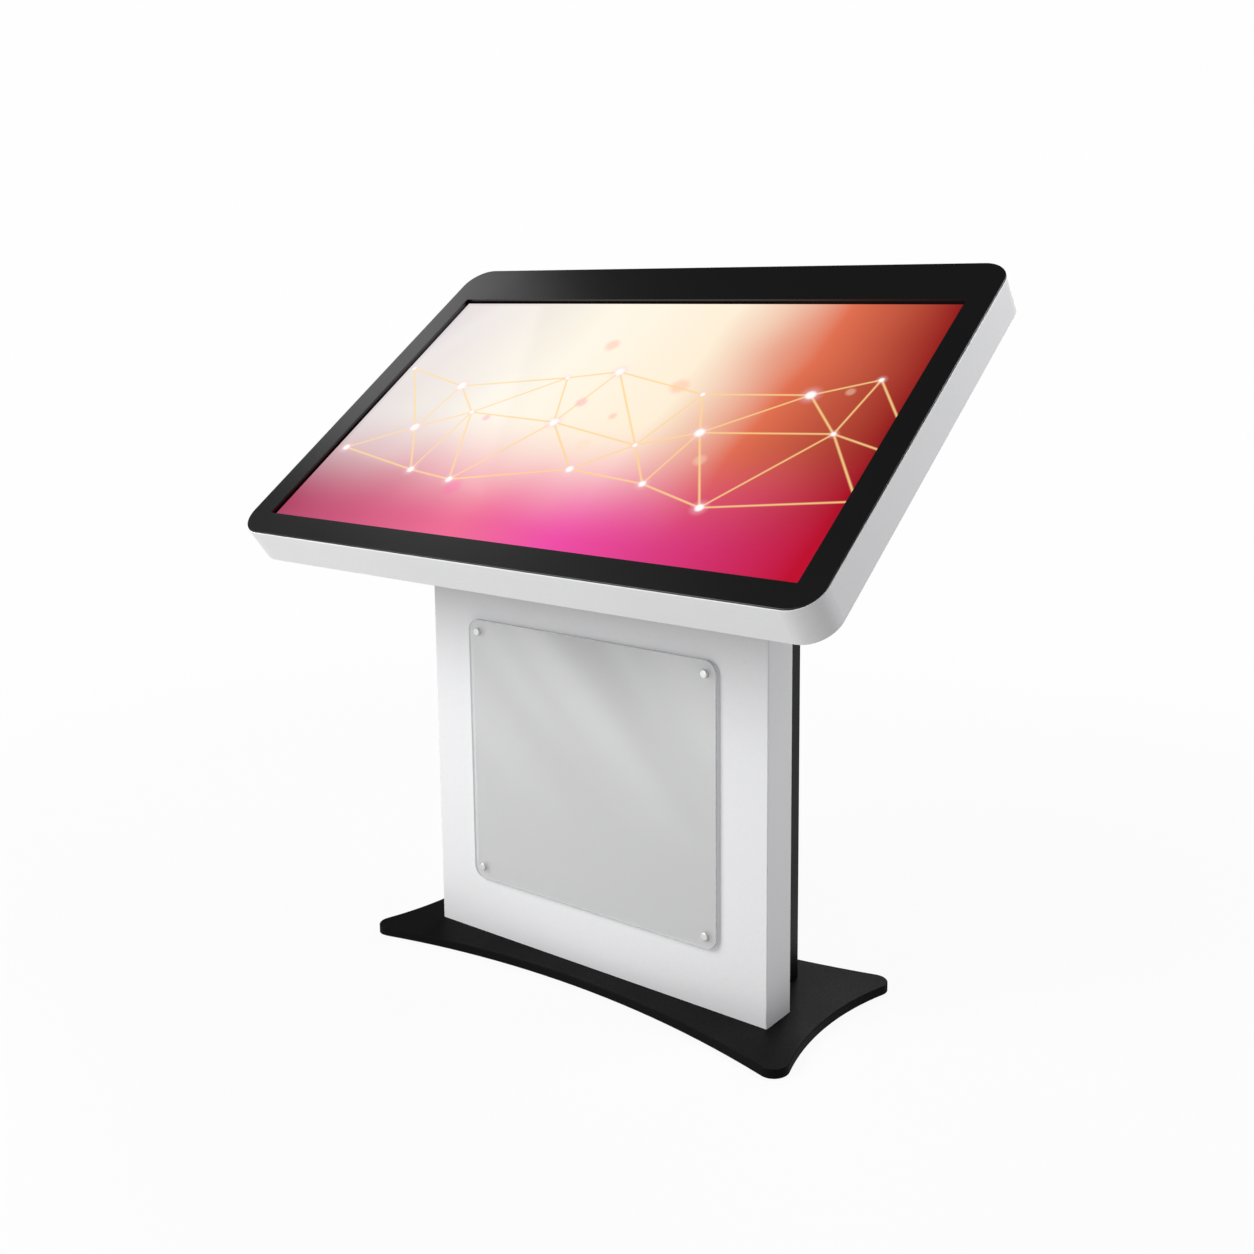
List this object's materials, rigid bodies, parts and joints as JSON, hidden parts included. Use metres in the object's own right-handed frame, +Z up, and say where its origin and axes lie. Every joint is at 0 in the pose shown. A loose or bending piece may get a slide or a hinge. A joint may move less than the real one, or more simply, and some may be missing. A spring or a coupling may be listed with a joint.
{
  "type": "touchscreen kiosk",
  "caption": "Free-standing touchscreen kiosk: a large landscape screen in a tilted rounded head on a folded steel column with a poster panel, on a hollow-sided base plate.",
  "frame": {"origin": "on the floor, under the middle of the base plate", "axes": "+Z up, +X to the right of a person facing the screen, +Y away from that person; the screen faces up and towards -Y"},
  "size_m": [1.03, 0.5654, 1.0662],
  "materials": {
    "white_powder_coat": "semi-gloss powder coat",
    "black_powder_coat": "satin powder coat",
    "base_black_texture": "fine-textured powder coat",
    "bezel_black": "satin paint",
    "zinc_plated_steel": "zinc plated",
    "aluminium": "satin",
    "polished_steel": "polished",
    "black_rubber": "matt",
    "black_foam": "matt",
    "clear_acrylic": "clear cast sheet",
    "touch_glass": "tempered",
    "infrared_filter": "dark polished",
    "screen_picture": "lit display behind a polarizer",
    "diffuser_white": "opal sheet",
    "circuit_board": "solder mask",
    "black_abs": "moulded",
    "speaker_paper": "pressed paper",
    "brass": "machined",
    "cable_pvc": "extruded"
  },
  "bodies": {
    "kiosk": {"base_plate": "base_black_texture", "base_mat": "black_rubber", "base_bolts": "zinc_plated_steel", "column_feet": "zinc_plated_steel", "column_posts": "zinc_plated_steel", "rail_bars": "zinc_plated_steel", "cradle_plate": "zinc_plated_steel", "cradle_bolts": "zinc_plated_steel", "cable_grommet": "black_rubber", "column_front_shell": "white_powder_coat", "rear_box_shell": "black_powder_coat", "pan_screws": "zinc_plated_steel", "poster_panel": "clear_acrylic", "poster_spacers": "aluminium", "poster_bolts": "polished_steel", "front_bezel": "bezel_black", "head_side_band": "white_powder_coat", "rear_cover": "black_powder_coat", "inner_frame": "zinc_plated_steel", "touch_glass": "touch_glass", "touch_filters": "infrared_filter", "touch_sensor_boards": "circuit_board", "display_gasket": "black_foam", "display_front_frame": "aluminium", "display_cell": "screen_picture", "diffuser_sheets": "diffuser_white", "light_guide": "diffuser_white", "led_bars": "aluminium", "display_chassis": "zinc_plated_steel", "panel_rails": "zinc_plated_steel", "scaler_board": "circuit_board", "touch_board": "circuit_board", "board_standoffs": "brass", "speaker_boxes": "black_abs", "speaker_cones": "speaker_paper", "equipment_plate": "zinc_plated_steel", "computer_case": "aluminium", "computer_lid": "aluminium", "computer_board": "circuit_board", "power_supply_case": "aluminium", "power_supply_board": "circuit_board", "terminal_block": "black_abs", "hinge_frame_leaves": "polished_steel", "hinge_pins": "polished_steel", "fan_frames": "black_abs", "inlet_housing": "black_abs", "inlet_pins": "brass", "signal_cables": "cable_pvc", "display_power_lead": "cable_pvc", "mains_lead": "cable_pvc"},
    "door": {"service_door": "black_powder_coat", "hinge_door_leaves": "polished_steel", "lock_barrel": "polished_steel", "lock_nut": "zinc_plated_steel"},
    "lock": {"lock_plug": "polished_steel", "lock_cam": "zinc_plated_steel"},
    "fan_left": {"fan_rotor_left": "black_abs"},
    "fan_right": {"fan_rotor_right": "black_abs"},
    "rocker": {"power_rocker": "black_abs"},
    "button": {"computer_button": "black_abs"}
  },
  "joints": [
    {"name": "door_hinge", "type": "hinge", "parent": "kiosk", "child": "door", "pos_m": [-0.225, 0.085, 0.40209], "axis": [0, 0, 1], "range_deg": [0, 110]},
    {"name": "cam_lock_turn", "type": "hinge", "parent": "door", "child": "lock", "pos_m": [0.199, 0.081, 0.40209], "axis": [0, 1, 0], "range_deg": [0, 90]},
    {"name": "fan_left_spin", "type": "hinge", "parent": "kiosk", "child": "fan_left", "pos_m": [-0.06, 0.0695, 0.78918], "axis": [0, 1, 0], "continuous": true},
    {"name": "fan_right_spin", "type": "hinge", "parent": "kiosk", "child": "fan_right", "pos_m": [0.06, 0.0695, 0.78918], "axis": [0, 1, 0], "continuous": true},
    {"name": "mains_rocker_tilt", "type": "hinge", "parent": "kiosk", "child": "rocker", "pos_m": [0.155, 0.081, 0.045], "axis": [1, 0, 0], "range_deg": [0, 16]},
    {"name": "computer_button_press", "type": "slide", "parent": "kiosk", "child": "button", "axis": [0, -1, 0], "range_m": [0, 0.0012], "stiffness_N_per_m": 300, "springref_m": -0.0005}
  ]
}
